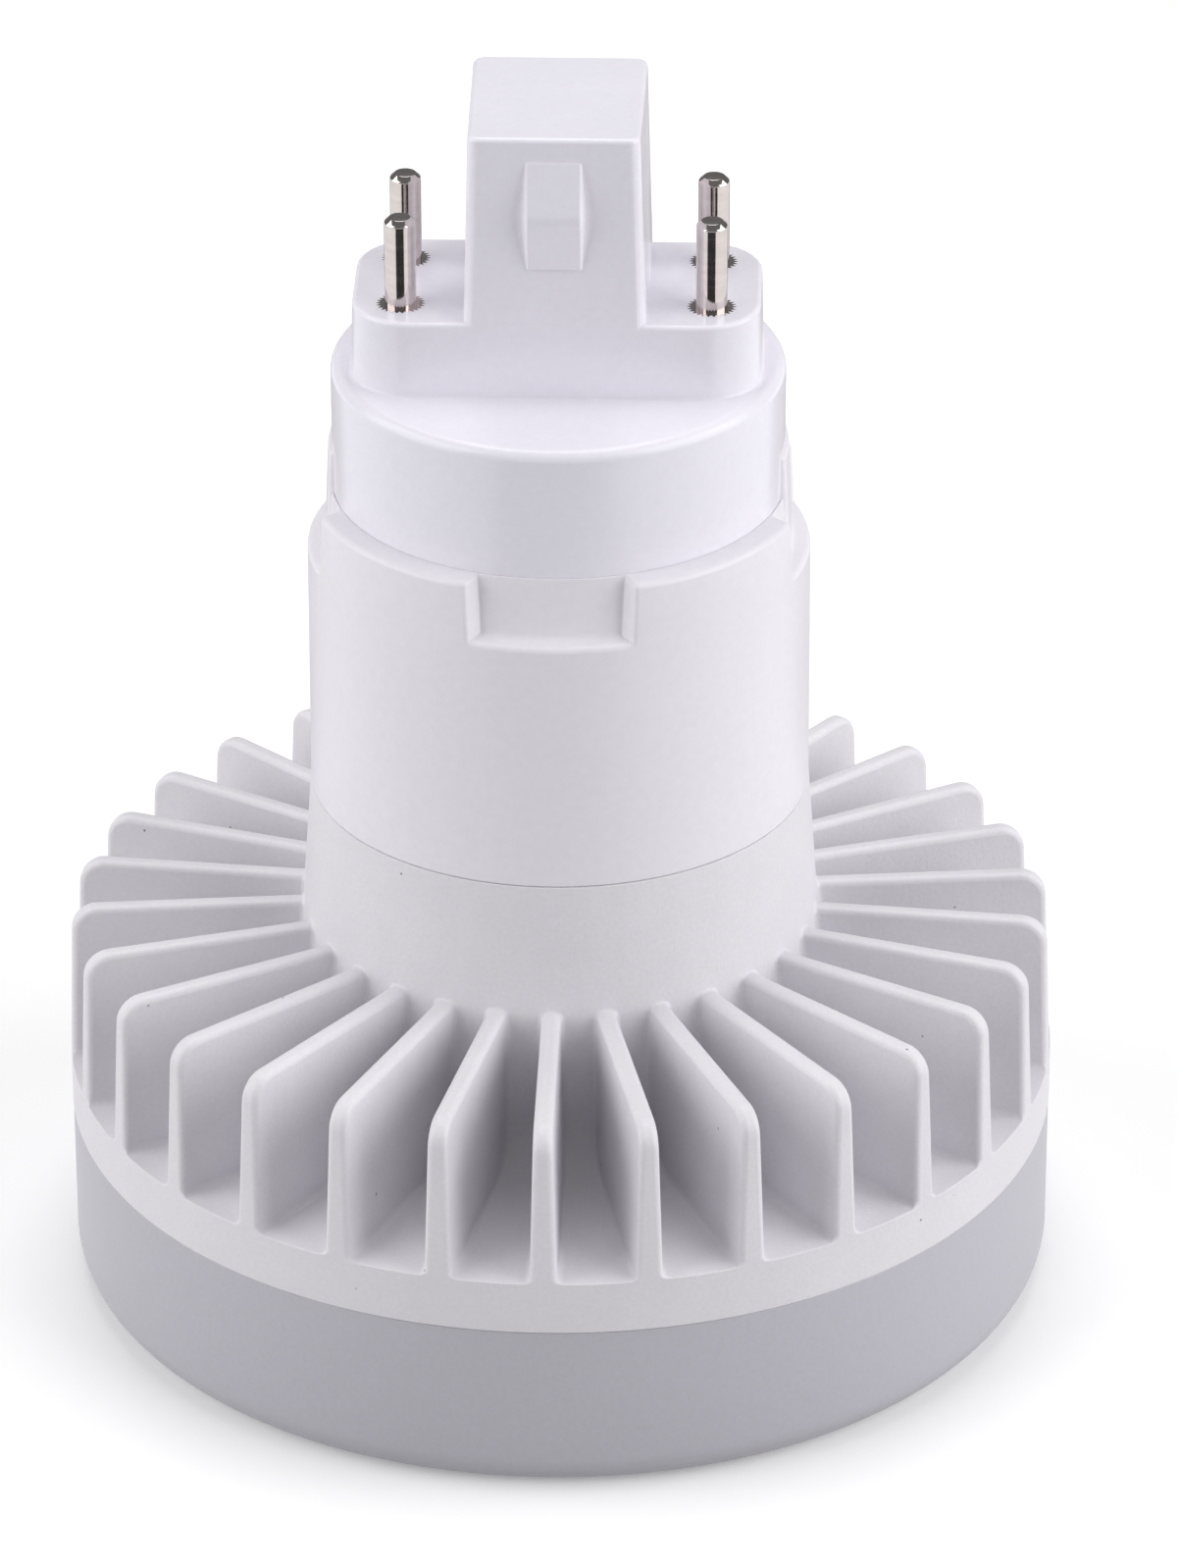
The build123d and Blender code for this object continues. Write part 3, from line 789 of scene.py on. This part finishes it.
tinTone = (0.72, 0.71, 0.69)
lineLow, lineHigh = 0.48, 0.56
facingLow, facingHigh = 0.6, 0.8
innerFinishes = {
    "stripBrass": {
        "nodes": ["contact_strip_1", "contact_strip_2", "contact_strip_3", "contact_strip_4",
                  "feed_post_positive", "feed_post_negative"],
        "metallic": 1.0, "light": (0.80, 0.60, 0.31), "shade": (0.70, 0.50, 0.24),
        "patch": 200.0, "grain": 2500.0, "rough": (0.22, 0.38), "bump": (0.1, 0.01),
        "lines": ((1.0, 1.0, 0.05), 2500.0, (0.60, 0.42, 0.19))},
    "ledBoard": {
        "nodes": ["led_board"], "light": (0.86, 0.86, 0.84), "shade": (0.80, 0.80, 0.775),
        "patch": 90.0, "grain": 1800.0, "rough": (0.3, 0.45), "bump": (0.08, 0.01)},
    "ledPackage": {
        "nodes": ["led_chips"], "light": (0.86, 0.86, 0.83), "shade": (0.78, 0.78, 0.75),
        "patch": 300.0, "grain": 3000.0, "rough": (0.3, 0.45), "bump": (0.05, 0.01),
        "face": ((0.0, 0.0, -1.0), (0.86, 0.63, 0.10))},
    "driverBoard": {
        "nodes": ["driver_board"], "light": (0.06, 0.27, 0.13), "shade": (0.045, 0.21, 0.10),
        "patch": 120.0, "grain": 2200.0, "rough": (0.28, 0.42), "bump": (0.1, 0.02),
        "lines": ((1.0, 0.0, 0.04), 1100.0, (0.10, 0.38, 0.20))},
    "canSleeve": {
        "nodes": ["bulk_capacitor"], "light": (0.035, 0.035, 0.04), "shade": (0.022, 0.022, 0.026),
        "patch": 150.0, "grain": 2000.0, "rough": (0.28, 0.4), "bump": (0.08, 0.02),
        "metalFrom": ((0.0, 0.0, 1.0), 0.0527, 0.05275)},
    "coreFerrite": {
        "nodes": ["transformer_core", "choke"],
        "light": (0.105, 0.10, 0.10), "shade": (0.075, 0.072, 0.072),
        "patch": 180.0, "grain": 2600.0, "rough": (0.5, 0.68), "bump": (0.3, 0.03)},
    "bobbinNylon": {
        "nodes": ["transformer_bobbin"],
        "light": (0.07, 0.068, 0.066), "shade": (0.05, 0.048, 0.047),
        "patch": 160.0, "grain": 2000.0, "rough": (0.35, 0.48), "bump": (0.1, 0.02)},
    "windingTape": {
        "nodes": ["transformer_winding"], "light": (0.82, 0.60, 0.12), "shade": (0.74, 0.52, 0.09),
        "patch": 150.0, "grain": 1800.0, "rough": (0.2, 0.32), "bump": (0.12, 0.02),
        "lines": ((0.05, 0.05, 1.0), 1500.0, (0.66, 0.45, 0.07))},
    "filmCase": {
        "nodes": ["film_capacitor"], "light": (0.60, 0.38, 0.10), "shade": (0.52, 0.32, 0.08),
        "patch": 130.0, "grain": 2000.0, "rough": (0.32, 0.46), "bump": (0.12, 0.02)},
    "fuseCase": {
        "nodes": ["fuse"], "light": (0.17, 0.09, 0.055), "shade": (0.13, 0.068, 0.042),
        "patch": 130.0, "grain": 2000.0, "rough": (0.35, 0.5), "bump": (0.12, 0.02)},
    "chipEpoxy": {
        "nodes": ["bridge_rectifier", "controller_chip", "power_transistor", "output_diode"],
        "light": (0.042, 0.042, 0.044), "shade": (0.028, 0.028, 0.03),
        "patch": 300.0, "grain": 3200.0, "rough": (0.42, 0.58), "bump": (0.3, 0.03),
        "metalFrom": ((0.0, 1.0, 0.0), -0.00115, -0.00112)},
}


def innerFinish(name, spec):
    material, tree, shader, colour = grainFinish(name, spec)
    if "lines" in spec:
        stretch, scale, tone = spec["lines"]
        line = useGroup(tree, streakGroup, Stretch=stretch, Scale=scale)["Line"]
        mask = mapValue(tree, line, lineLow, lineHigh, 0.0, 1.0)
        colour = mixColour(tree, mask, colour, rgb(*tone))
    if "face" in spec:
        axis, tone = spec["face"]
        normal = addNode(tree, "ShaderNodeNewGeometry").outputs["Normal"]
        mask = mapValue(tree, addDot(tree, normal, axis), facingLow, facingHigh, 0.0, 1.0)
        colour = mixColour(tree, mask, colour, rgb(*tone))
    if "metalFrom" in spec:
        axis, start, end = spec["metalFrom"]
        bare = useGroup(tree, bandGroup, Axis=axis, Start=start, End=end)["Mask"]
        colour = mixColour(tree, bare, colour, rgb(*tinTone))
        tree.links.new(bare, shader.inputs["Metallic"])
    tree.links.new(colour, shader.inputs["Base Color"])
    return material


for finishName, finishSpec in innerFinishes.items():
    dress([nodes[name] for name in finishSpec["nodes"]], innerFinish(finishName, finishSpec))
print("inner finishes set")


# camera, in metres and degrees

cameraSpec = {
    "place": (0.0200, -0.5475, 0.3298), "turn": (62.0525, 0.1013, 1.8129),
    "lens": 188.69, "sensor": 36.0, "clip": (0.01, 20.0),
}


def setCamera(spec):
    data = bpy.data.cameras.new("photoCamera")
    data.lens = spec["lens"]
    data.sensor_width = spec["sensor"]
    data.clip_start, data.clip_end = spec["clip"]
    cam = addObject("photoCamera", data)
    cam.location = spec["place"]
    cam.rotation_euler = [radians(a) for a in spec["turn"]]
    bpy.context.scene.camera = cam


setCamera(cameraSpec)


# floor and surroundings

stageSpec = {
    "floorSize": 6.0, "floorGap": 0.00005, "floorGlow": 0.16, "bounceTone": (0.29, 0.29, 0.30),
    "worldTint": (0.97, 0.98, 1.0), "worldStrength": 0.19,
    "paper": {"light": (0.98, 0.98, 0.98), "shade": (0.9653, 0.9653, 0.9653),
              "patch": 12.0, "grain": 900.0, "rough": (0.75, 0.85), "bump": (0.05, 0.02)},
}


def setStage(spec):
    bm = bmesh.new()
    bmesh.ops.create_grid(bm, x_segments=1, y_segments=1, size=spec["floorSize"] / 2)
    floor = addObject("studioFloor", toMesh("studioFloor", bm))
    floor.location.z = -spec["floorGap"]
    paper = spec["paper"]
    material, tree, shader, colour = grainFinish("floorPaper", paper)
    # the paper shows white but throws back a softer light
    spill = addNode(tree, "ShaderNodeLightPath").outputs["Is Diffuse Ray"]
    colour = mixColour(tree, spill, colour, rgb(*spec["bounceTone"]))
    tree.links.new(colour, shader.inputs["Base Color"])
    shader.inputs["Emission Color"].default_value = rgb(*paper["light"])
    shader.inputs["Emission Strength"].default_value = spec["floorGlow"]
    dress([floor], material)
    world = bpy.data.worlds.new("studioWorld")
    world.use_nodes = True
    back = world.node_tree.nodes["Background"]
    back.inputs["Color"].default_value = rgb(*spec["worldTint"])
    back.inputs["Strength"].default_value = spec["worldStrength"]
    bpy.context.scene.world = world


setStage(stageSpec)


# cards on the floor, seen only in the pins' plating and in smooth faces at a low angle

flagSpec = {
    "z": 0.002, "lightTint": (1.0, 0.96, 0.97), "shadeTint": (0.6, 0.57, 0.58),
    "felt": {"patch": 20.0, "grain": 900.0, "rough": (0.85, 0.95), "bump": (0.1, 0.05)},
    # tone, then half width and place of the near and the far edge
    "cards": {"frontFlag": (0.02, (0.065, -0.12), (0.2, -0.36)),
              "backFlag": (0.5, (0.1, 0.06), (0.25, 0.7))},
}


def setFlags(spec):
    for name, (tone, (nearX, nearY), (farX, farY)) in spec["cards"].items():
        corners = [(-nearX, nearY), (nearX, nearY), (farX, farY), (-farX, farY)]
        mesh = bpy.data.meshes.new(name)
        mesh.from_pydata([(x, y, spec["z"]) for x, y in corners], [], [(0, 1, 2, 3)])
        flag = addObject(name, mesh)
        flag.visible_camera = False
        flag.visible_diffuse = False
        flag.visible_shadow = False
        light, shade = [[c * tone for c in spec[key]] for key in ("lightTint", "shadeTint")]
        felt = {"light": light, "shade": shade, **spec["felt"]}
        dress([flag], grainFinish(name + "Felt", felt)[0])


setFlags(flagSpec)


# lamps, aimed at the middle of the part: place, width and height, watts

lampAim = (0.0, 0.0, 0.05)
lampSpec = {
    "rightSoftbox": ((1.1, -0.3, 0.5), (1.4, 1.3), 15.0),
    "leftSoftbox": ((-1.1, -0.3, 0.5), (1.4, 1.3), 12.8),
    "topSoftbox": ((0.0, 0.4, 1.3), (0.8, 1.0), 6.8),
}


def setLamps(spec):
    for name, (place, size, watts) in spec.items():
        data = bpy.data.lights.new(name, "AREA")
        data.shape = "RECTANGLE"
        data.size, data.size_y = size
        data.energy = watts
        lamp = addObject(name, data)
        lamp.location = place
        aim = Vector(lampAim) - Vector(place)
        lamp.rotation_euler = aim.to_track_quat("-Z", "Y").to_euler()


setLamps(lampSpec)
bpy.context.scene.view_settings.view_transform = "Standard"
print("stage set")
